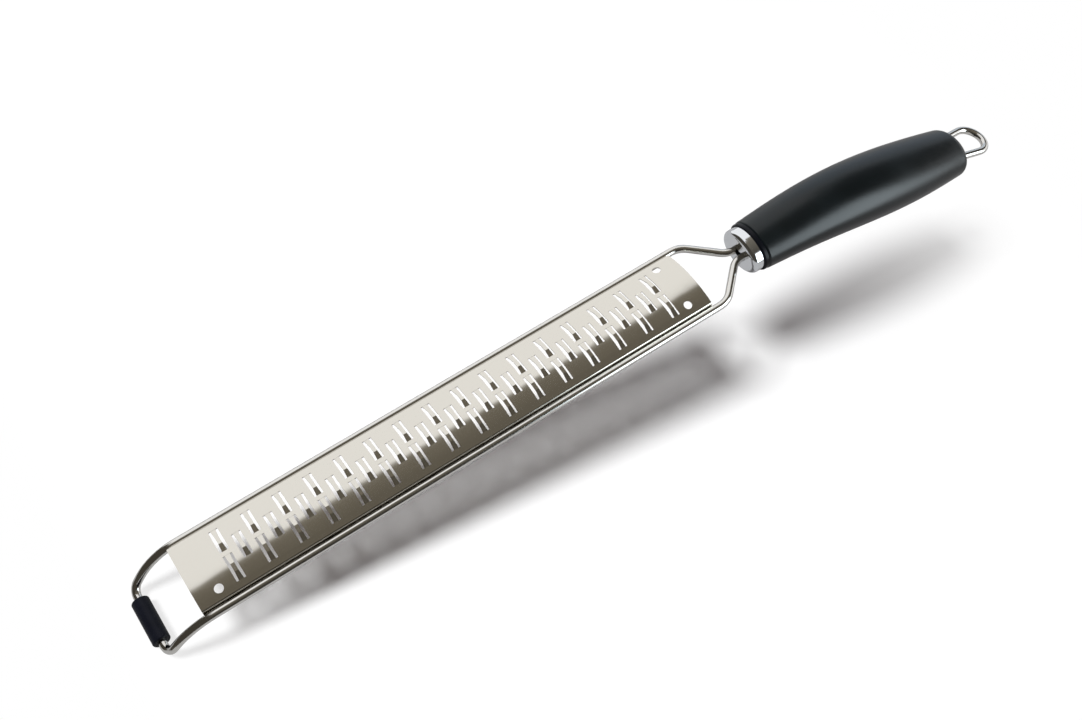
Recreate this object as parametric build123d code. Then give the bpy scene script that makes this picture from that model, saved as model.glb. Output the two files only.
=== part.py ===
from build123d import *
from math import asin, atan, cos, degrees, radians, sin, sqrt, tan
import os

# Rasp zester, millimetres.
# It is drawn in the blade's own frame: +X runs along the length from the foot bar to the grip,
# +Y across the blade, +Z up from the folds at the blade's edges, zero at the first tooth.
# At the end everything is turned together, so that the foot sleeve and the rear of the grip
# both rest on the plane z = 0, and the origin is moved under the middle of the whole.

# Blade, one folded sheet
sheet = 0.5
blade_width = 28.3
blade_arch = 2.6
flange_depth = 4.2
fold_radius = 0.8
foot_margin = 16.7
neck_margin = 15.3
hole_radius = 1.7
hole_inset = 8.7
hole_side = 10.1

# Teeth, each a strip between two slits: it climbs on a long ramp and falls on a short one
tooth_pitch = 12.5
outer_teeth = 16
inner_teeth = 15
row_spacing = 5.95
row_shift = 0.37
slit_length = 10.1
slit_width = 0.8
strip_width = 2.0
crown_width = 1.5
tooth_rise = 0.9
long_ramp = 4.1
short_ramp = 3.0
root_lap = 0.15
root_sink = 0.06

# Wire frame, one bent rod
rod_radius = 1.6
rod_drop = 2.36
flange_gap = 0.1
foot_reach = 22.5
foot_bar_reach = 33.4
foot_bar_drop = 11.3
foot_bar_tuck = 1.4
foot_bend = 22.0
foot_corner_bend = 4.1
neck_start = 6.6
neck_end = 21.2
neck_pair_side = 2.25
neck_sink = 0.45
neck_bend = 9.4
neck_pair_bend = 8.0
rod_in_core = 42.0

# Weld beads under the rod, between it and the flange
bead_radius = 0.55
bead_length = 6.0
bead_rise = 1.55
bead_side = 0.4
bead_count = 6
bead_end_inset = 12.0
bead_gap = 0.02

# Sleeve on the foot bar
sleeve_radius = 3.3
sleeve_length = 18.4
sleeve_round = 0.7
sleeve_gap = 0.08

# Ferrule, an oval cap with one mouth for both rods
ferrule_start = 24.7
ferrule_length = 4.6
ferrule_half_width = 10.4
ferrule_half_height = 8.3
ferrule_wall = 0.9
ferrule_round = 2.0
core_gap = 0.06

# Core of the handle with its collar
collar_length = 2.3
collar_half_width = 11.3
collar_half_height = 8.7
collar_round = 0.9
grip_wall = 2.4
core_rear_inset = 7.0

# Grip: an oval section on a centre line that bends down and then runs straight
grip_length = 116.2
grip_half_width = 15.1
grip_half_height = 11.6
grip_size_shares = (0.765, 0.86, 0.945, 0.995, 0.985, 0.905, 0.775)
grip_bend = 250.0
grip_bend_share = 0.5
grip_front_round = 0.9
grip_rear_round = 4.6

# Hanging loop, a bent rod with both legs in the core
loop_rise = 1.9
loop_slope = 14.3
loop_reach = 19.3
loop_root_side = 5.9
loop_side = 7.7
loop_bend = 6.9
loop_in_core = 24.0

# Rounds of correction that bring the two resting points to one height
settling_steps = 4

half_width = blade_width / 2
blade_start = -foot_margin
blade_end = (outer_teeth - 1) * tooth_pitch + neck_margin
blade_length = blade_end - blade_start
arch_radius = (half_width**2 + blade_arch**2) / (2 * blade_arch)
arch_centre = blade_arch - arch_radius
rod_side = half_width + flange_gap + rod_radius
ferrule_x = blade_end + ferrule_start
collar_x = ferrule_x + ferrule_length
grip_x = collar_x + collar_length
handle_height = -rod_drop - neck_sink


def arch_height(y):
    """Height of the blade's top face at the distance y from its middle."""
    return arch_centre + sqrt(arch_radius**2 - y**2)


def bent_path(points, radii):
    """Straight runs through the points, with a round bend at each inner one."""
    edges = []
    start = points[0]
    for before, corner, after, radius in zip(points, points[1:], points[2:], radii):
        back = (before - corner).normalized()
        ahead = (after - corner).normalized()
        half_angle = radians(back.get_angle(ahead)) / 2
        inward = (back + ahead).normalized()
        reach = radius / tan(half_angle)
        middle = corner + inward * (radius / sin(half_angle) - radius)
        first = corner + back * reach
        last = corner + ahead * reach
        edges.append(Line(start, first))
        edges.append(ThreePointArc(first, middle, last))
        start = last
    edges.append(Line(start, points[-1]))
    return Wire(edges)


def round_rod(path, radius):
    """A round rod along a path."""
    section = Plane(origin=path @ 0, z_dir=path % 0) * Circle(radius)
    return sweep(section, path=path)


def facing_handle(x, y, z):
    """A drawing plane across the length at a point, its own x along Y."""
    return Plane(origin=(x, y, z), x_dir=(0, 1, 0), z_dir=(1, 0, 0))


def oval_bar(x, length, oval_half_width, oval_half_height):
    """An oval bar along X on the handle's front axis, starting at x."""
    return extrude(facing_handle(x, 0, handle_height) * Ellipse(oval_half_width, oval_half_height), length)


def round_front(bar, radius):
    """The bar with the rim of its front face rounded."""
    return fillet(bar.faces().sort_by(Axis.X)[0].edges(), radius)


def blade_section():
    """Outline of the folded sheet across the blade."""
    inner = half_width - sheet
    inner_radius = arch_radius - sheet
    inner_height = arch_centre + sqrt(inner_radius**2 - inner**2)
    outline = [
        Line((-half_width, -flange_depth), (-half_width, 0)),
        ThreePointArc((-half_width, 0), (0, blade_arch), (half_width, 0)),
        Line((half_width, 0), (half_width, -flange_depth)),
        Line((half_width, -flange_depth), (inner, -flange_depth)),
        Line((inner, -flange_depth), (inner, inner_height)),
        ThreePointArc((inner, inner_height), (0, blade_arch - sheet), (-inner, inner_height)),
        Line((-inner, inner_height), (-inner, -flange_depth)),
        Line((-inner, -flange_depth), (-half_width, -flange_depth)),
    ]
    face = make_face(outline)
    outer_folds = [v for v in face.vertices() if abs(abs(v.X) - half_width) < sheet / 4 and v.Y > -sheet]
    face = fillet(outer_folds, fold_radius)
    inner_folds = [v for v in face.vertices() if abs(abs(v.X) - inner) < sheet / 4 and v.Y > -sheet * 4]
    inner_folds = [v for v in inner_folds if abs(v.Y - inner_height) < sheet / 4]
    return fillet(inner_folds, fold_radius - sheet)


def tooth_rows():
    """Each row's place across the blade and the places of its teeth along it."""
    outer = [index * tooth_pitch for index in range(outer_teeth)]
    inner = [(index + 0.5) * tooth_pitch for index in range(inner_teeth)]
    return [(row_spacing - row_shift, outer), (-row_shift, inner), (-row_spacing - row_shift, outer)]


def strip_stations():
    """Distances across the blade from a tooth's middle, with the height and the width there."""
    half = slit_length / 2
    root = half + root_lap
    return [
        (-root, -root_sink, strip_width),
        (short_ramp - half, tooth_rise, crown_width),
        (half - long_ramp, tooth_rise, crown_width),
        (root, -root_sink, strip_width),
    ]


def raised_strip(row):
    """One tooth: the strip climbs from the sheet, runs level above it and goes down again."""
    top = []
    under = []
    left = []
    right = []
    for offset, rise, width in strip_stations():
        height = arch_height(row + offset) + rise
        sunk = root_sink if rise < 0 else 0
        top.append((row + offset, height))
        under.append((row + offset, height - sheet + 2 * sunk))
        left.append((-width / 2, row + offset))
        right.append((width / 2, row + offset))
    side_view = Plane.YZ * make_face(Polyline(*top, *reversed(under), close=True))
    top_view = make_face(Polyline(*left, *reversed(right), close=True))
    return extrude(side_view, strip_width, both=True) & extrude(top_view, 2 * blade_arch, both=True)


def hole_cutter(x, side):
    """A round cutter square to the arched sheet, at a distance from its middle."""
    lean = degrees(asin(side / arch_radius))
    spot = Pos(x, 0, arch_centre) * Rot(-lean, 0, 0) * Pos(0, 0, arch_radius)
    return spot * Cylinder(hole_radius, 4 * sheet)


def build_blade():
    body = Pos(blade_start, 0, 0) * extrude(Plane.YZ * blade_section(), blade_length)
    window = Rectangle(strip_width + 2 * slit_width, slit_length)
    cutters = []
    strips = []
    for row, places in tooth_rows():
        strip = raised_strip(row)
        for x in places:
            cutters.append(Pos(x, row, 0) * extrude(window, blade_arch + sheet))
            strips.append(Pos(x, 0, 0) * strip)
    cutters.append(hole_cutter(blade_start + hole_inset, -hole_side))
    for side in (-hole_side, hole_side):
        cutters.append(hole_cutter(blade_end - hole_inset, side))
    return body - cutters + strips


def rod_points():
    """Corners of the rod's centre line on the side of +Y, from the core to the foot bar."""
    return [
        Vector(collar_x + rod_in_core, neck_pair_side, handle_height),
        Vector(blade_end + neck_end, neck_pair_side, handle_height),
        Vector(blade_end + neck_start, rod_side, -rod_drop),
        Vector(-foot_reach, rod_side, -rod_drop),
        Vector(-foot_bar_reach, rod_side - foot_bar_tuck, -rod_drop - foot_bar_drop),
    ]


def rod_path():
    side = rod_points()
    mirrored = [Vector(p.X, -p.Y, p.Z) for p in reversed(side)]
    radii = [neck_pair_bend, neck_bend, foot_bend, foot_corner_bend]
    return bent_path(side + mirrored, radii + list(reversed(radii)))


def build_beads(rod):
    """Short weld beads in the groove under the rod, along both flanges."""
    beads = []
    run = blade_length - 2 * bead_end_inset
    for side in (-1, 1):
        keep_out = Pos(blade_start + blade_length / 2, side * half_width / 2, 0) * Box(
            2 * blade_length, half_width + 2 * bead_gap, 4 * flange_depth)
        for index in range(bead_count):
            x = blade_start + bead_end_inset + run * index / (bead_count - 1)
            spot = Pos(x, side * (half_width + bead_side), -rod_drop - bead_rise)
            beads.append(spot * Rot(0, 90, 0) * Cylinder(bead_radius, bead_length) - keep_out)
    return Compound(children=[(bead - rod).solid() for bead in beads])


def grip_axis(share):
    """Point and slope of the grip's centre line at a share of its length."""
    bend_length = grip_length * grip_bend_share
    bent = min(grip_length * share, bend_length)
    straight = grip_length * share - bent
    slope = -bent / grip_bend
    x = grip_x - grip_bend * sin(slope) + straight * cos(slope)
    z = handle_height - grip_bend * (1 - cos(slope)) + straight * sin(slope)
    return Vector(x, 0, z), slope


def oval_on_axis(share, size_share, inset):
    point, slope = grip_axis(share)
    plane = Plane(origin=point, x_dir=(0, 1, 0), z_dir=(cos(slope), 0, sin(slope)))
    return plane * Ellipse(grip_half_width * size_share - inset, grip_half_height * size_share - inset)


def barrel(first, last, inset):
    """The grip's form between two of its stations, made smaller by an inset."""
    steps = len(grip_size_shares) - 1
    ovals = [oval_on_axis(i / steps, grip_size_shares[i], inset) for i in range(first, last + 1)]
    return loft([oval.face() for oval in ovals])


def end_slab(share, length):
    """A thick slab across the centre line, behind the given share of it."""
    point, slope = grip_axis(share)
    plane = Plane(origin=point, x_dir=(0, 1, 0), z_dir=(cos(slope), 0, sin(slope)))
    return extrude(plane * Rectangle(4 * grip_half_width, 4 * grip_half_width), length)


def rod_bores():
    """Room for the two straight ends of the rod in the handle."""
    section = Circle(rod_radius + core_gap)
    reach = collar_x + rod_in_core + core_gap - ferrule_x
    sides = (-neck_pair_side, neck_pair_side)
    return [extrude(facing_handle(ferrule_x, side, handle_height) * section, reach) for side in sides]


def build_core(loop_space):
    """Nose in the ferrule, collar behind it and barrel in the grip, all one moulding."""
    steps = len(grip_size_shares) - 1
    body = barrel(0, steps, grip_wall) - end_slab(1 - core_rear_inset / grip_length, 2 * core_rear_inset)
    nose_inset = ferrule_wall + core_gap
    nose_x = ferrule_x + nose_inset
    nose = oval_bar(nose_x, collar_x + collar_length / 2 - nose_x,
                    ferrule_half_width - nose_inset, ferrule_half_height - nose_inset)
    nose = round_front(nose, ferrule_round - nose_inset)
    collar = oval_bar(collar_x + core_gap, collar_length - 2 * core_gap,
                      collar_half_width, collar_half_height)
    collar = round_front(collar, collar_round)
    stem = oval_bar(collar_x + collar_length / 2, collar_length,
                    grip_half_width * grip_size_shares[0] - 2 * grip_wall,
                    grip_half_height * grip_size_shares[0] - 2 * grip_wall)
    return body + stem + collar + nose - rod_bores() - loop_space


def build_ferrule():
    """A cap, open behind, with the rods' mouth in its flat front."""
    cap = oval_bar(ferrule_x, ferrule_length, ferrule_half_width, ferrule_half_height)
    cap = round_front(cap, ferrule_round)
    inner = oval_bar(ferrule_x + ferrule_wall, ferrule_length,
                     ferrule_half_width - ferrule_wall, ferrule_half_height - ferrule_wall)
    inner = round_front(inner, ferrule_round - ferrule_wall)
    rod_room = rod_radius + core_gap
    mouth = SlotOverall(2 * (neck_pair_side + rod_room), 2 * rod_room)
    mouth = extrude(facing_handle(ferrule_x, 0, handle_height) * mouth, ferrule_length)
    return cap - inner - mouth


def build_grip(loop_space):
    steps = len(grip_size_shares) - 1
    skin = barrel(0, steps, 0)
    ends = skin.faces().filter_by(GeomType.PLANE).sort_by(Axis.X)
    skin = fillet(ends[-1].edges(), grip_rear_round)
    ends = skin.faces().filter_by(GeomType.PLANE).sort_by(Axis.X)
    skin = fillet(ends[0].edges(), grip_front_round)
    hollow = barrel(0, steps, grip_wall - core_gap)
    hollow = hollow - end_slab(1 - (core_rear_inset - core_gap) / grip_length, 2 * core_rear_inset)
    return skin - hollow - loop_space


def loop_path():
    end = grip_axis(1)[0]
    lean = radians(loop_slope)
    along = Vector(cos(lean), 0, -sin(lean))
    root = end + Vector(0, 0, loop_rise)
    across = Vector(0, 1, 0)
    points = [
        root - along * loop_in_core + across * loop_root_side,
        root + across * loop_root_side,
        root + along * loop_reach + across * loop_side,
        root + along * loop_reach - across * loop_side,
        root - across * loop_root_side,
        root - along * loop_in_core - across * loop_root_side,
    ]
    return bent_path(points, [2 * loop_bend, loop_bend, loop_bend, 2 * loop_bend])


def build_sleeve():
    """A short thick tube pushed onto the foot bar."""
    bar = rod_points()[-1]
    tube = Circle(sleeve_radius) - Circle(rod_radius + sleeve_gap)
    sleeve = extrude(Plane.XZ * tube, sleeve_length / 2, both=True)
    rims = sleeve.edges().filter_by(GeomType.CIRCLE).group_by(SortBy.RADIUS)[-1]
    return Pos(bar.X, 0, bar.Z) * fillet(rims, sleeve_round)


def resting_turn(front, rear):
    """The turn about Y that brings the lowest points of two pieces to one height."""
    tilt = 0
    for _ in range(settling_steps):
        turn = Rot(0, -tilt, 0)
        front_box = (turn * front).bounding_box()
        rear_box = (turn * rear).bounding_box()
        drop = rear_box.min.Z - front_box.min.Z
        tilt = tilt - degrees(atan(drop / (rear_box.max.X - front_box.min.X)))
    return Rot(0, -tilt, 0)


def main():
    frame_path = rod_path()
    hang_path = loop_path()
    loop_space = round_rod(hang_path, rod_radius + core_gap)
    pieces = {
        "blade": build_blade(),
        "wire_frame": round_rod(frame_path, rod_radius),
        "weld_beads": build_beads(round_rod(frame_path, rod_radius + core_gap)),
        "foot_sleeve": build_sleeve(),
        "ferrule": build_ferrule(),
        "handle_core": build_core(loop_space),
        "grip": build_grip(loop_space),
        "hanging_loop": round_rod(hang_path, rod_radius),
    }
    turn = resting_turn(pieces["foot_sleeve"], pieces["grip"])
    boxes = [(turn * piece).bounding_box() for piece in pieces.values()]
    first = min(box.min.X for box in boxes)
    last = max(box.max.X for box in boxes)
    lowest = min(box.min.Z for box in boxes)
    place = Pos(-(first + last) / 2, 0, -lowest) * turn
    print("placed at", place)
    os.makedirs("parts", exist_ok=True)
    for name, piece in pieces.items():
        export_step(place * piece, f"parts/{name}.step")


main()
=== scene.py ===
from math import cos, radians, sin

import bmesh
import bpy
from bpy.props import FloatProperty, FloatVectorProperty, PointerProperty
from mathutils import Euler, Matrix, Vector


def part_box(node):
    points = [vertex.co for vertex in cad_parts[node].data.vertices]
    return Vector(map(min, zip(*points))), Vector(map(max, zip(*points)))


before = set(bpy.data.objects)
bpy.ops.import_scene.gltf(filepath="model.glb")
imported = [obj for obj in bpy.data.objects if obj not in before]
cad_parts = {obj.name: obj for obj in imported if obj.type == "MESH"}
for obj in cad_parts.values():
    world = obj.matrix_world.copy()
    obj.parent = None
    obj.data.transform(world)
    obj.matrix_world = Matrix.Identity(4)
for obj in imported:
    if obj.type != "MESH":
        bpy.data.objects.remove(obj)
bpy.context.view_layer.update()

bl_info = {
    "name": "Rasp zester",
    "version": (1, 0, 0),
    "blender": (4, 5, 0),
    "location": "View3D > Sidebar > Zester",
    "description": "Finishes for a rasp zester and the studio that it is shown in",
    "category": "Object",
}


# Settings, with lengths in metres

def colour(name, description, default):
    """A colour that a user may change."""
    return FloatVectorProperty(
        name=name, description=description, default=default, subtype="COLOR", size=3, min=0, max=1)


def amount(name, description, default, high=1.0):
    """A plain number, nothing or more, that a user may change."""
    return FloatProperty(name=name, description=description, default=default, min=0, max=high)


def length(name, description, default):
    """A length that a user may change."""
    return FloatProperty(
        name=name, description=description, default=default, unit="LENGTH", subtype="DISTANCE")


def angle(name, description, degrees):
    """An angle that a user may change, its default given in degrees."""
    return FloatProperty(
        name=name, description=description, default=radians(degrees), unit="ROTATION", subtype="ANGLE")


class ZesterFinish(bpy.types.PropertyGroup):
    """Colours and surface qualities of the tool."""

    blade_colour: colour("Blade", "Bright rolled sheet of the blade", (0.74, 0.712, 0.65))
    blade_roughness: amount("Blade roughness", "How much the blade spreads a reflection", 0.13)
    wire_colour: colour("Wire", "Drawn wire of the frame and the hanging loop", (0.74, 0.725, 0.695))
    wire_roughness: amount("Wire roughness", "How much the wire spreads a reflection", 0.13)
    bead_colour: colour("Weld beads", "Heat-stained weld beads", (0.42, 0.36, 0.30))
    bead_roughness: amount("Bead roughness", "How much the beads spread a reflection", 0.26)
    ferrule_colour: colour("Ferrule", "Polished cap at the front of the handle", (0.795, 0.815, 0.845))
    ferrule_roughness: amount("Ferrule roughness", "How much the ferrule spreads a reflection", 0.09)
    collar_colour: colour(
        "Core", "Hard moulding with the collar behind the ferrule", (0.003, 0.0035, 0.0055))
    collar_roughness: amount("Core roughness", "How much the core spreads a reflection", 0.3)
    grip_colour: colour("Grip", "Satin soft skin of the grip", (0.0026, 0.0044, 0.0054))
    grip_roughness: amount("Grip roughness", "How much the grip spreads a reflection", 0.3)
    sleeve_colour: colour("Sleeve", "Smooth sleeve on the foot bar", (0.004, 0.0045, 0.0075))
    sleeve_roughness: amount("Sleeve roughness", "How much the sleeve spreads a reflection", 0.45)
    sheet_grain: length("Sheet grain", "Spacing of the rolling lines on the blade", 0.00022)
    sheet_waves: length(
        "Sheet waves", "Depth of the faint waviness that punching leaves in the blade", 0.0001)
    wire_grain: length("Wire grain", "Spacing of the drawing lines on the wire", 0.00035)
    rubber_grain: length("Moulded grain", "Size of the fine grain on the mouldings", 0.00045)


class ZesterStudio(bpy.types.PropertyGroup):
    """Floor, light, cards and camera."""

    floor_fall: angle("Floor fall", "How far the floor falls away from the foot towards the handle", 9.0)
    floor_colour: colour("Floor", "Pale floor", (0.96, 0.96, 0.96))
    floor_lift: amount("Floor lift", "How much the eye sees the floor's shadow lightened", 0.03)
    fill_colour: colour("Fill", "Soft light from all round", (1.0, 0.80, 0.80))
    fill_strength: amount("Fill strength", "Strength of the soft light from all round", 0.04)
    key_direction: FloatVectorProperty(
        name="Key direction", description="From the tool towards the middle of the key light",
        default=(-0.37, 0.1, 1.0), subtype="DIRECTION")
    key_colour: colour(
        "Key colour", "Colour of the key light, which evens out the fill's", (0.985, 0.995, 1.0))
    key_strength: amount("Key strength", "Strength of the key light, even over the whole floor", 3.7, 20)
    key_width: angle("Key width", "How wide the key light looks from the tool", 17)
    soft_share: amount(
        "Soft share", "Share of the key light that comes from the wide light round it", 0.12)
    soft_width: angle("Soft width", "How wide the wide light looks from the tool", 60)
    gauze_share: amount(
        "Gauze", "Share of the floor's brightness that reflections get through the gauze", 0.5)
    card_distance: length("Card distance", "From the tool to the dark and bright cards", 1.5)
    dark_colour: colour(
        "Dark cards", "The top card's far end; the rest of them is darker", (0.198, 0.178, 0.143))
    dark_end: amount("Near card", "How bright its low edge is against the top card's far end", 0.15)
    blade_line: angle(
        "Blade line", "Where the top card ends: it parts the blade's dark side from the bright one", 17.5)
    foot_draw: angle("Line at the foot", "How far that end is drawn in beyond the blade's foot", 6.1)
    neck_draw: angle("Line at the neck", "How far that end is drawn in at the blade's neck end", 6.0)
    handle_reach: angle("Card over the handle", "How much further the top card reaches there", 8.0)
    cool_colour: colour("Cool card", "Card at the far side beyond the handle", (0.78, 0.88, 1.0))
    cool_strength: amount("Cool card strength", "Strength of the cool card", 0.74)
    bright_colour: colour("Bright panel", "Cool light at the right-hand front", (0.84, 0.95, 1.0))
    bright_strength: amount("Bright panel strength", "Strength of the bright panel", 5.2, 20)
    camera_place: FloatVectorProperty(
        name="Camera place", description="Where the camera stands",
        default=(-0.18437, -0.21593, 0.43377), unit="LENGTH", subtype="TRANSLATION")
    camera_turn: FloatVectorProperty(
        name="Camera turn", description="How the camera is turned",
        default=(radians(32.953), radians(-0.274), radians(-34.345)), subtype="EULER", unit="ROTATION")
    camera_lens: FloatProperty(
        name="Lens", description="Focal length on a 36 mm sensor", default=43.1, unit="CAMERA")


# Node helpers

FLOAT = "NodeSocketFloat"
COLOUR = "NodeSocketColor"
NOISE_ROUGHNESS = 0.55
WHITE = (1.0, 1.0, 1.0)


def feed(tree, value, socket):
    """Links an output to a socket, or sets the socket to a plain number or colour."""
    if isinstance(value, bpy.types.NodeSocket):
        tree.links.new(value, socket)
    else:
        socket.default_value = value


def opaque(rgb):
    """A colour as shader sockets take it."""
    return (*rgb, 1.0)


def math_node(tree, operation, first, second=None):
    """A Math node; gives back its output."""
    node = tree.nodes.new("ShaderNodeMath")
    node.operation = operation
    feed(tree, first, node.inputs[0])
    if second is not None:
        feed(tree, second, node.inputs[1])
    return node.outputs[0]


def ramp(tree, value, start, end, first=0.0, last=1.0, smooth=False):
    """A Map Range node that goes from first, at start, to last, at end; gives back its output."""
    node = tree.nodes.new("ShaderNodeMapRange")
    node.interpolation_type = "SMOOTHSTEP" if smooth else "LINEAR"
    feed(tree, value, node.inputs["Value"])
    feed(tree, start, node.inputs["From Min"])
    feed(tree, end, node.inputs["From Max"])
    feed(tree, first, node.inputs["To Min"])
    feed(tree, last, node.inputs["To Max"])
    return node.outputs["Result"]


def mix_colour(tree, factor, first, second):
    """A Mix node for colours; gives back its output."""
    node = tree.nodes.new("ShaderNodeMix")
    node.data_type = "RGBA"
    feed(tree, factor, node.inputs["Factor"])
    feed(tree, first, node.inputs["A"])
    feed(tree, second, node.inputs["B"])
    return node.outputs["Result"]


def noise(tree, vector, scale, detail):
    """A Noise Texture; gives back its value."""
    node = tree.nodes.new("ShaderNodeTexNoise")
    feed(tree, vector, node.inputs["Vector"])
    feed(tree, scale, node.inputs["Scale"])
    feed(tree, detail, node.inputs["Detail"])
    feed(tree, NOISE_ROUGHNESS, node.inputs["Roughness"])
    return node.outputs["Fac"]


def coordinates(tree, kind):
    """A surface's own coordinates: Object or UV."""
    return tree.nodes.new("ShaderNodeTexCoord").outputs[kind]


def axes(tree, vector):
    """A vector's X, Y and Z."""
    node = tree.nodes.new("ShaderNodeSeparateXYZ")
    feed(tree, vector, node.inputs[0])
    return node.outputs


def relief(tree, height, distance):
    """A Bump node; gives back its normal."""
    node = tree.nodes.new("ShaderNodeBump")
    feed(tree, 1.0, node.inputs["Strength"])
    feed(tree, distance, node.inputs["Distance"])
    feed(tree, height, node.inputs["Height"])
    return node.outputs["Normal"]


# Effects that several materials use

LINE_STRETCH = 0.02         # how often the drawn lines change along the tool, against across it
LINE_SHARE = 0.7            # the lines' share in the uneven roughness; patches have the rest
PATCHES_PER_METRE = 60.0
WAVES_PER_METRE = 90.0
BLOOMS_PER_METRE = 45.0
BLOOM_FROM = 0.42           # the noise at which the bloom of handling begins
BLOOM_FULL = 0.72           # the noise at which it is full
BLOOM_MIDDLE = 0.3          # the bloom at which the roughness is the one asked for


def new_group(name, inputs, outputs):
    """An empty shader group with named sockets; gives back its tree, what it gets and what it puts out."""
    tree = bpy.data.node_groups.new(name, "ShaderNodeTree")
    for label, kind, default in inputs:
        socket = tree.interface.new_socket(name=label, in_out="INPUT", socket_type=kind)
        socket.default_value = default
    for label, kind in outputs:
        tree.interface.new_socket(name=label, in_out="OUTPUT", socket_type=kind)
    source = tree.nodes.new("NodeGroupInput")
    target = tree.nodes.new("NodeGroupOutput")
    return tree, source.outputs, target.inputs


def drawn_lines_group():
    """Fine lines that rolling or drawing leaves along the steel, and faint waves that punching leaves. The
    height that it puts out is in metres."""
    tree, given, result = new_group(
        "Drawn lines",
        (("Spacing", FLOAT, 0.0003), ("Roughness", FLOAT, 0.2), ("Unevenness", FLOAT, 0.05),
         ("Line depth", FLOAT, 0.0000002), ("Wave depth", FLOAT, 0.0)),
        (("Roughness", FLOAT), ("Height", FLOAT)))
    place = coordinates(tree, "Object")
    stretch = tree.nodes.new("ShaderNodeVectorMath")
    stretch.operation = "MULTIPLY"
    feed(tree, place, stretch.inputs[0])
    feed(tree, (LINE_STRETCH, 1.0, 1.0), stretch.inputs[1])
    lines_per_metre = math_node(tree, "DIVIDE", 1.0, given["Spacing"])
    lines = noise(tree, stretch.outputs[0], lines_per_metre, detail=2.0)
    patches = noise(tree, place, PATCHES_PER_METRE, detail=2.0)
    waves = noise(tree, place, WAVES_PER_METRE, detail=1.0)
    line_part = math_node(tree, "MULTIPLY", lines, LINE_SHARE)
    patch_part = math_node(tree, "MULTIPLY", patches, 1.0 - LINE_SHARE)
    above_middle = math_node(tree, "SUBTRACT", math_node(tree, "ADD", line_part, patch_part), 0.5)
    offset = math_node(tree, "MULTIPLY", above_middle, given["Unevenness"])
    feed(tree, math_node(tree, "ADD", given["Roughness"], offset), result["Roughness"])
    line_height = math_node(tree, "MULTIPLY", lines, given["Line depth"])
    wave_height = math_node(tree, "MULTIPLY", waves, given["Wave depth"])
    feed(tree, math_node(tree, "ADD", line_height, wave_height), result["Height"])
    return tree


def moulded_grain_group():
    """Fine grain and a faint bloom of handling on a dark moulding."""
    tree, given, result = new_group(
        "Moulded grain",
        (("Colour", COLOUR, (0, 0, 0, 1)), ("Bloom", COLOUR, (0, 0, 0, 1)), ("Grain", FLOAT, 0.0004),
         ("Roughness", FLOAT, 0.4), ("Unevenness", FLOAT, 0.06)),
        (("Colour", COLOUR), ("Roughness", FLOAT), ("Height", FLOAT)))
    place = coordinates(tree, "Object")
    grains_per_metre = math_node(tree, "DIVIDE", 1.0, given["Grain"])
    grain = noise(tree, place, grains_per_metre, detail=2.0)
    clouds = noise(tree, place, BLOOMS_PER_METRE, detail=4.0)
    bloom = ramp(tree, clouds, BLOOM_FROM, BLOOM_FULL, smooth=True)
    feed(tree, mix_colour(tree, bloom, given["Colour"], given["Bloom"]), result["Colour"])
    above_middle = math_node(tree, "SUBTRACT", bloom, BLOOM_MIDDLE)
    offset = math_node(tree, "MULTIPLY", above_middle, given["Unevenness"])
    feed(tree, math_node(tree, "ADD", given["Roughness"], offset), result["Roughness"])
    feed(tree, grain, result["Height"])
    return tree


def soft_edges_group():
    """A mask that fades out over a share of a card's width, towards each of its edges."""
    tree, given, result = new_group("Soft edges", (("Softness", FLOAT, 0.1),), (("Mask", FLOAT),))
    place = axes(tree, coordinates(tree, "UV"))
    fade_start = math_node(tree, "SUBTRACT", 0.5, given["Softness"])
    fades = []
    for axis in ("X", "Y"):
        from_middle = math_node(tree, "ABSOLUTE", math_node(tree, "SUBTRACT", place[axis], 0.5))
        fades.append(ramp(tree, from_middle, fade_start, 0.5, 1.0, 0.0, smooth=True))
    feed(tree, math_node(tree, "MULTIPLY", *fades), result["Mask"])
    return tree


def place_group(tree, name, build, **values):
    """Puts a group into a material, built at its first use, and sets its inputs by name, spaces written
    as underscores; gives back its outputs."""
    node = tree.nodes.new("ShaderNodeGroup")
    node.node_tree = bpy.data.node_groups.get(name) or build()
    for label, value in values.items():
        feed(tree, value, node.inputs[label.replace("_", " ")])
    return node.outputs


# Materials of the tool

BLOOM_GAIN = 1.6            # how much paler a moulding is where it has been handled


def principled(name):
    """A material with a Principled shader; gives back the material, its tree and the shader's inputs."""
    material = bpy.data.materials.new(name)
    material.use_nodes = True
    tree = material.node_tree
    return material, tree, tree.nodes["Principled BSDF"].inputs


def steel(name, rgb, roughness, spacing, unevenness, line_depth, wave_depth=0.0):
    """Bright steel with fine lines along the tool and, where it has been punched, a faint waviness."""
    material, tree, shader = principled(name)
    lines = place_group(tree, "Drawn lines", drawn_lines_group,
                        Spacing=spacing, Roughness=roughness, Unevenness=unevenness,
                        Line_depth=line_depth, Wave_depth=wave_depth)
    feed(tree, opaque(rgb), shader["Base Color"])
    feed(tree, 1.0, shader["Metallic"])
    feed(tree, lines["Roughness"], shader["Roughness"])
    feed(tree, relief(tree, lines["Height"], distance=1.0), shader["Normal"])
    return material


def moulding(name, rgb, roughness, grain, unevenness, grain_depth, specular):
    """Dark moulded skin with a fine grain."""
    material, tree, shader = principled(name)
    bloom = tuple(channel * BLOOM_GAIN for channel in rgb)
    skin = place_group(tree, "Moulded grain", moulded_grain_group,
                       Colour=opaque(rgb), Bloom=opaque(bloom), Grain=grain,
                       Roughness=roughness, Unevenness=unevenness)
    feed(tree, specular, shader["Specular IOR Level"])
    feed(tree, skin["Colour"], shader["Base Color"])
    feed(tree, skin["Roughness"], shader["Roughness"])
    feed(tree, relief(tree, skin["Height"], grain_depth), shader["Normal"])
    return material


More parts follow.
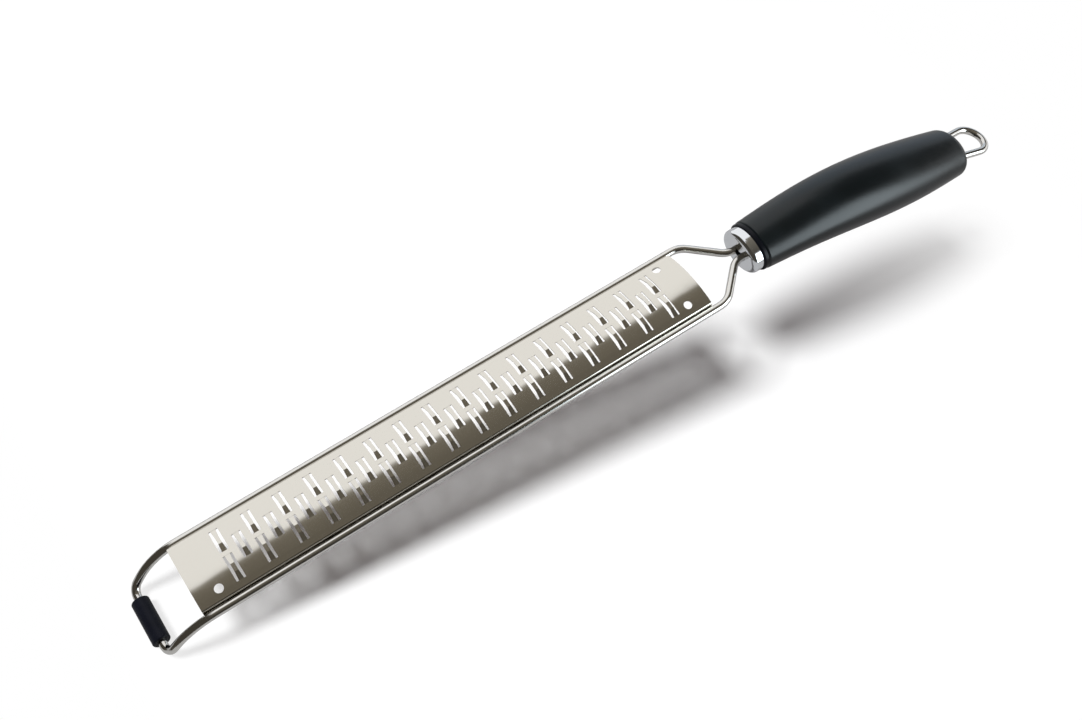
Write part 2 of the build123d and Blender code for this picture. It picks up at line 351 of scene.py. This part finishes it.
def dress(node, material):
    """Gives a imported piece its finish."""
    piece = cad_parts[node]
    piece.data.materials.clear()
    piece.data.materials.append(material)


# Operators of the tool

class ZESTER_OT_blade(bpy.types.Operator):
    """Finish the blade as bright rolled sheet"""

    bl_idname = "zester.blade"
    bl_label = "Blade"

    def execute(self, context):
        finish = context.scene.zester_finish
        sheet = steel("blade sheet", finish.blade_colour, finish.blade_roughness, finish.sheet_grain,
                      unevenness=0.05, line_depth=0.0000002, wave_depth=finish.sheet_waves)
        dress("blade", sheet)
        return {"FINISHED"}


class ZESTER_OT_wire(bpy.types.Operator):
    """Finish the frame, its weld beads and the hanging loop"""

    bl_idname = "zester.wire"
    bl_label = "Wire frame and loop"

    def execute(self, context):
        finish = context.scene.zester_finish
        wire = steel("drawn wire", finish.wire_colour, finish.wire_roughness, finish.wire_grain,
                     unevenness=0.04, line_depth=0.0000002)
        bead = steel("weld bead", finish.bead_colour, finish.bead_roughness, finish.wire_grain,
                     unevenness=0.1, line_depth=0.00001)
        dress("wire_frame", wire)
        dress("hanging_loop", wire)
        dress("weld_beads", bead)
        return {"FINISHED"}


class ZESTER_OT_ferrule(bpy.types.Operator):
    """Finish the ferrule as polished steel"""

    bl_idname = "zester.ferrule"
    bl_label = "Ferrule"

    def execute(self, context):
        finish = context.scene.zester_finish
        polish = steel("ferrule polish", finish.ferrule_colour, finish.ferrule_roughness,
                       finish.wire_grain, unevenness=0.03, line_depth=0.0000001)
        dress("ferrule", polish)
        return {"FINISHED"}


class ZESTER_OT_handle(bpy.types.Operator):
    """Finish the hard core with its collar and the satin grip over it"""

    bl_idname = "zester.handle"
    bl_label = "Core and grip"

    def execute(self, context):
        finish = context.scene.zester_finish
        core = moulding("hard core", finish.collar_colour, finish.collar_roughness, finish.rubber_grain,
                        unevenness=0.02, grain_depth=0.000001, specular=0.15)
        grip = moulding("satin grip", finish.grip_colour, finish.grip_roughness, finish.rubber_grain,
                        unevenness=0.06, grain_depth=0.000012, specular=0.4)
        dress("handle_core", core)
        dress("grip", grip)
        return {"FINISHED"}


class ZESTER_OT_foot_sleeve(bpy.types.Operator):
    """Finish the sleeve on the foot bar"""

    bl_idname = "zester.foot_sleeve"
    bl_label = "Foot sleeve"

    def execute(self, context):
        finish = context.scene.zester_finish
        rubber = moulding("sleeve rubber", finish.sleeve_colour, finish.sleeve_roughness,
                          finish.rubber_grain, unevenness=0.05, grain_depth=0.000008, specular=0.15)
        dress("foot_sleeve", rubber)
        return {"FINISHED"}


# Materials of the studio

def bare_material(name):
    """A material with no nodes; gives back the material and its tree."""
    material = bpy.data.materials.new(name)
    material.use_nodes = True
    material.node_tree.nodes.clear()
    return material, material.node_tree


def surface(tree, shader):
    """Makes a shader the material's surface."""
    out = tree.nodes.new("ShaderNodeOutputMaterial")
    feed(tree, shader, out.inputs["Surface"])


def seen_by_eye_or_gloss(tree):
    """One for camera, glossy and transmission rays, nothing for the rest."""
    path = tree.nodes.new("ShaderNodeLightPath")
    first = math_node(tree, "MAXIMUM", path.outputs["Is Camera Ray"], path.outputs["Is Glossy Ray"])
    return math_node(tree, "MAXIMUM", first, path.outputs["Is Transmission Ray"])


def emission(tree, rgb, strength):
    """A glow; gives back its shader."""
    node = tree.nodes.new("ShaderNodeEmission")
    feed(tree, opaque(rgb), node.inputs["Color"])
    feed(tree, strength, node.inputs["Strength"])
    return node.outputs["Emission"]


def transparent(tree, rgb=WHITE):
    """A clear or grey see-through shader."""
    node = tree.nodes.new("ShaderNodeBsdfTransparent")
    feed(tree, opaque(rgb), node.inputs["Color"])
    return node.outputs["BSDF"]


def mix_shader(tree, factor, first, second):
    """The first shader where the factor is nothing, the second where it is one."""
    node = tree.nodes.new("ShaderNodeMixShader")
    feed(tree, factor, node.inputs[0])
    feed(tree, first, node.inputs[1])
    feed(tree, second, node.inputs[2])
    return node.outputs[0]


def card_material(name, rgb, low_strength, high_strength, softness):
    """A card's glow, which goes from its low edge's strength to its high edge's and has soft edges."""
    material, tree = bare_material(name)
    strength = low_strength
    if high_strength != low_strength:
        across = axes(tree, coordinates(tree, "UV"))["Y"]
        strength = ramp(tree, across, 0.0, 1.0, low_strength, high_strength)
    mask = place_group(tree, "Soft edges", soft_edges_group, Softness=softness)["Mask"]
    surface(tree, mix_shader(tree, mask, transparent(tree), emission(tree, rgb, strength)))
    return material


def glow_material(name, rgb, strength):
    """An even glow."""
    material, tree = bare_material(name)
    surface(tree, emission(tree, rgb, strength))
    return material


def gauze_material(studio):
    """A see-through grey."""
    material, tree = bare_material("gauze")
    surface(tree, transparent(tree, (studio.gauze_share,) * 3))
    return material


# Where the floor turns plain white, in metres from its middle: all round, and along the tool behind the
# shadow's handle end and ahead of the foot. It keeps its shadow up to the first number of each pair, and is
# white from the second. Along the tool this white is painted light: it fades out the cast shadow of the
# handle and of the foot, which the lamps still cast there.
WHITE_ROUND = (0.40, 0.75)
PAINTED_LIGHT_BEHIND = (0.075, 0.30)
PAINTED_LIGHT_AHEAD = (-0.135, -0.215)


def floor_material(studio):
    """Pale matt floor that keeps its shadow near the tool and is plain white further out; at the handle's
    end and the foot's end of the shadow, painted light fades the cast shadow out. It is clear from below."""
    material, tree = bare_material("pale floor")
    eye = seen_by_eye_or_gloss(tree)
    matt = tree.nodes.new("ShaderNodeBsdfDiffuse")
    feed(tree, opaque(studio.floor_colour), matt.inputs["Color"])
    # Painted light: a glow in the fill's colour, for the eye and for reflections, lightens the floor and
    # its shadow.
    lifted = tree.nodes.new("ShaderNodeAddShader")
    feed(tree, matt.outputs[0], lifted.inputs[0])
    lift = math_node(tree, "MULTIPLY", eye, studio.floor_lift)
    feed(tree, emission(tree, studio.fill_colour, lift), lifted.inputs[1])
    place = coordinates(tree, "Object")
    distance = tree.nodes.new("ShaderNodeVectorMath")
    distance.operation = "LENGTH"
    feed(tree, place, distance.inputs[0])
    along = axes(tree, place)["X"]
    all_round = ramp(tree, distance.outputs["Value"], *WHITE_ROUND, smooth=True)
    # Painted light: white laid over the cast shadow towards the handle's end and beyond the foot.
    behind = ramp(tree, along, *PAINTED_LIGHT_BEHIND)
    ahead = ramp(tree, along, *PAINTED_LIGHT_AHEAD)
    white_and_painted_light = math_node(tree, "MAXIMUM", all_round, math_node(tree, "MAXIMUM", behind, ahead))
    plain_white = emission(tree, WHITE, 1.0)
    top = mix_shader(tree, math_node(tree, "MULTIPLY", white_and_painted_light, eye), lifted.outputs[0], plain_white)
    from_below = tree.nodes.new("ShaderNodeNewGeometry").outputs["Backfacing"]
    surface(tree, mix_shader(tree, from_below, top, transparent(tree)))
    return material


# Pieces of the studio

FLOOR_HALF = 6.0            # from the floor's middle to its edges
GAUZE_RISE = 0.0005         # how far the gauze lies over the floor
FLOOR_CARD_RISE = 0.001     # how far the dark card on the floor lies over it
FLOOR_CARD_END = -0.218     # that card's end nearest the tool, just past the foot
ARC_STEPS = 24              # flat strips across a curved card


def one_face(name, corners):
    """A mesh of one four-sided face, with UVs from corner to corner."""
    mesh = bpy.data.meshes.new(name)
    form = bmesh.new()
    places = form.loops.layers.uv.new("place")
    face = form.faces.new([form.verts.new(corner) for corner in corners])
    for loop, place in zip(face.loops, ((0, 0), (1, 0), (1, 1), (0, 1))):
        loop[places].uv = place
    form.to_mesh(mesh)
    form.free()
    return mesh


def level_face(name, x_low, x_high, half_width):
    """A level rectangle that faces up."""
    corners = ((x_low, -half_width), (x_high, -half_width), (x_high, half_width), (x_low, half_width))
    return one_face(name, [(x, y, 0) for x, y in corners])


def reflected_only(name, mesh, material):
    """A stage card that only reflections show."""
    card = bpy.data.objects.new(name, mesh)
    bpy.context.collection.objects.link(card)
    mesh.materials.append(material)
    card.visible_camera = False
    card.visible_diffuse = False
    card.visible_shadow = False
    card.visible_transmission = False
    return card


def arc_card(name, material, radius, low, high, outline):
    """A card curved round the tool's length from a low to a high angle. Angles count from straight up
    towards the far side. The outline gives places along x and how far the high edge stands out there."""
    mesh = bpy.data.meshes.new(name)
    form = bmesh.new()
    places = form.loops.layers.uv.new("place")
    for (x_start, out_start), (x_end, out_end) in zip(outline, outline[1:]):
        for step in range(ARC_STEPS):
            share = step / ARC_STEPS
            next_share = (step + 1) / ARC_STEPS
            corners = ((x_start, out_start, share), (x_end, out_end, share),
                       (x_end, out_end, next_share), (x_start, out_start, next_share))
            verts = []
            for x, out, up in corners:
                turn = low + (high + out - low) * up
                verts.append(form.verts.new((x, radius * sin(turn), radius * cos(turn))))
            for loop, (_, _, up) in zip(form.faces.new(verts).loops, corners):
                loop[places].uv = (0.5, up)
    form.to_mesh(mesh)
    form.free()
    reflected_only(name, mesh, material)


def build_floor(studio):
    """A wide floor that touches the foot sleeve and falls away towards the handle."""
    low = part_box("foot_sleeve")[0]
    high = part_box("foot_sleeve")[1]
    contact = Vector(((low.x + high.x) / 2, 0, low.z))
    floor = bpy.data.objects.new("floor", level_face("floor", -FLOOR_HALF, FLOOR_HALF, FLOOR_HALF))
    bpy.context.collection.objects.link(floor)
    floor.rotation_euler = Euler((0, studio.floor_fall, 0))
    to_middle = Vector((cos(studio.floor_fall), 0, -sin(studio.floor_fall))) * -contact.x
    floor.location = contact + to_middle
    floor.data.materials.append(floor_material(studio))
    return floor


def lay_over(floor, sheet, rise):
    """Lays a sheet just over the floor."""
    sheet.rotation_euler = floor.rotation_euler
    sheet.location = floor.location + Vector((0, 0, rise))


def build_gauze(studio, floor):
    """A gauze just over the floor that only reflections see: it greys the floor in the steel."""
    mesh = level_face("gauze", -FLOOR_HALF, FLOOR_HALF, FLOOR_HALF)
    lay_over(floor, reflected_only("gauze", mesh, gauze_material(studio)), GAUZE_RISE)


def build_world(studio):
    """White all round for the eye and for reflections, a weaker fill for everything else."""
    world = bpy.data.worlds.new("studio")
    bpy.context.scene.world = world
    world.use_nodes = True
    tree = world.node_tree
    background = tree.nodes["Background"].inputs
    fill = tuple(channel * studio.fill_strength for channel in studio.fill_colour)
    sky = mix_colour(tree, seen_by_eye_or_gloss(tree), opaque(fill), opaque(WHITE))
    feed(tree, sky, background["Color"])
    feed(tree, 1.0, background["Strength"])


def far_light(name, strength, width, studio):
    """A light so far off that it is even over the whole floor."""
    light = bpy.data.lights.new(name, "SUN")
    light.energy = strength
    light.color = studio.key_colour
    light.angle = width
    lamp = bpy.data.objects.new(name, light)
    bpy.context.collection.objects.link(lamp)
    direction = Vector(studio.key_direction).normalized()
    lamp.location = direction
    lamp.rotation_euler = direction.to_track_quat("Z", "Y").to_euler()
    lamp.visible_glossy = False


def build_key(studio):
    """The key light, high up and a little towards the foot, and a wide soft light round it."""
    soft = studio.key_strength * studio.soft_share
    far_light("key", studio.key_strength - soft, studio.key_width, studio)
    far_light("soft_key", soft, studio.soft_width, studio)


# Cards that the steel mirrors. Radii and most places along the tool are shares of the card distance. The
# radii differ a little, so that no card lies in another.

DIM = 0.3                   # how bright a dark card is away from the top card's far end, which is one
ALL_ALONG = 2.0             # this far past the tool's middle a card runs on out of sight


def straight(start, end):
    """The outline of a card whose edges are straight."""
    return ((start, 0), (end, 0))


def build_top_card(studio):
    """The dark card overhead. The blade mirrors its far end as the line between its own dark and bright
    sides. That line bends towards the near side at the blade's two ends, where the card is drawn in."""
    radius = studio.card_distance
    material = card_material("dark card, top", studio.dark_colour, DIM, 1.0, softness=0.075)
    outline = (
        (-ALL_ALONG * radius, -studio.foot_draw),
        (-0.275, -studio.foot_draw),
        (-0.08, 0),
        (0.42, 0),
        (0.60, -studio.neck_draw),
        (0.72, studio.handle_reach),
        (ALL_ALONG * radius, studio.handle_reach),
    )
    arc_card("dark_card_top", material, radius, radians(-48), studio.blade_line, outline)


def build_near_card(studio):
    """The dark card at the near side, which goes on from the top card down to the tool's level."""
    radius = studio.card_distance
    material = card_material("dark card, near", studio.dark_colour, studio.dark_end, DIM, softness=0.08)
    arc_card("dark_card_near", material, 1.02 * radius, radians(-92), radians(-40),
             straight(-ALL_ALONG * radius, 0.3 * radius))


def build_foot_cards(studio, floor):
    """Dark cards beyond the foot: one stands across the tool's length, one lies on the floor."""
    side = studio.card_distance
    material = glow_material("dark card, end", studio.dark_colour, DIM)
    x = -0.36 * side
    corners = ((-side, -side), (side, -side), (side, side), (-side, side))
    upright = one_face("dark_card_end", [(x, y, z) for y, z in corners])
    reflected_only("dark_card_end", upright, material)
    level = level_face("dark_card_floor", FLOOR_CARD_END - side, FLOOR_CARD_END, side / 2)
    lay_over(floor, reflected_only("dark_card_floor", level, material), FLOOR_CARD_RISE)


def build_handle_cards(studio):
    """Beyond the handle: a dark card overhead, and a cool one at the far side."""
    radius = studio.card_distance
    out_of_sight = 3.0 * radius
    dark = card_material("dark card, right", studio.dark_colour, 0.25, DIM, softness=0.15)
    arc_card("dark_card_right", dark, 0.98 * radius, radians(-30), radians(56),
             straight(0.78 * radius, out_of_sight))
    cool = card_material(
        "cool card", studio.cool_colour, studio.cool_strength, studio.cool_strength, softness=0.12)
    arc_card("cool_card", cool, 0.97 * radius, radians(48), radians(160),
             straight(0.6 * radius, out_of_sight))


def build_bright_panel(studio):
    """An upright panel that faces the tool from the right-hand front, its low and high edges slanting."""
    turn = radians(-50)
    half_width = 0.75
    low = -0.2
    high = 1.1
    slant = 0.24
    middle = Vector((cos(turn), sin(turn), 0)) * 0.9 * studio.card_distance
    along = Vector((-sin(turn), cos(turn), 0)) * half_width
    corners = []
    for side, z in ((-1, low), (1, low), (1, high), (-1, high)):
        corners.append(middle + along * side + Vector((0, 0, z + slant * side)))
    material = card_material(
        "bright panel", studio.bright_colour, studio.bright_strength, studio.bright_strength, softness=0.25)
    reflected_only("bright_panel", one_face("bright_panel", corners), material)


def build_camera(studio):
    """The camera at the photograph's place and angle."""
    data = bpy.data.cameras.new("camera")
    data.lens = studio.camera_lens
    data.sensor_width = 36.0
    data.clip_start = 0.01
    camera = bpy.data.objects.new("camera", data)
    bpy.context.collection.objects.link(camera)
    camera.location = studio.camera_place
    camera.rotation_euler = Euler(studio.camera_turn)
    bpy.context.scene.camera = camera


class ZESTER_OT_studio(bpy.types.Operator):
    """Build the floor, the light, the cards and the camera"""

    bl_idname = "zester.studio"
    bl_label = "Studio"

    def execute(self, context):
        studio = context.scene.zester_studio
        floor = build_floor(studio)
        build_gauze(studio, floor)
        build_world(studio)
        build_key(studio)
        build_top_card(studio)
        build_near_card(studio)
        build_foot_cards(studio, floor)
        build_handle_cards(studio)
        build_bright_panel(studio)
        build_camera(studio)
        context.scene.view_settings.view_transform = "Standard"
        return {"FINISHED"}


class ZESTER_PT_panel(bpy.types.Panel):
    """Buttons and settings of the rasp zester"""

    bl_idname = "ZESTER_PT_panel"
    bl_label = "Rasp zester"
    bl_space_type = "VIEW_3D"
    bl_region_type = "UI"
    bl_category = "Zester"

    def draw(self, context):
        for operator in OPERATORS:
            self.layout.operator(operator.bl_idname)
        for group in (context.scene.zester_finish, context.scene.zester_studio):
            box = self.layout.box()
            for name in group.bl_rna.properties.keys():
                if name not in ("rna_type", "name"):
                    box.prop(group, name)


OPERATORS = (
    ZESTER_OT_blade,
    ZESTER_OT_wire,
    ZESTER_OT_ferrule,
    ZESTER_OT_handle,
    ZESTER_OT_foot_sleeve,
    ZESTER_OT_studio,
)
CLASSES = (ZesterFinish, ZesterStudio, *OPERATORS, ZESTER_PT_panel)


def register():
    """Registers the classes and hangs the two groups of settings on the scene."""
    for item in CLASSES:
        bpy.utils.register_class(item)
    bpy.types.Scene.zester_finish = PointerProperty(type=ZesterFinish)
    bpy.types.Scene.zester_studio = PointerProperty(type=ZesterStudio)


def unregister():
    """Undoes what register does."""
    del bpy.types.Scene.zester_finish
    del bpy.types.Scene.zester_studio
    for item in reversed(CLASSES):
        bpy.utils.unregister_class(item)


def main():
    """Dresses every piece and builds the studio."""
    register()
    bpy.ops.zester.blade()
    bpy.ops.zester.wire()
    bpy.ops.zester.ferrule()
    bpy.ops.zester.handle()
    bpy.ops.zester.foot_sleeve()
    bpy.ops.zester.studio()


if __name__ == "__main__":
    main()
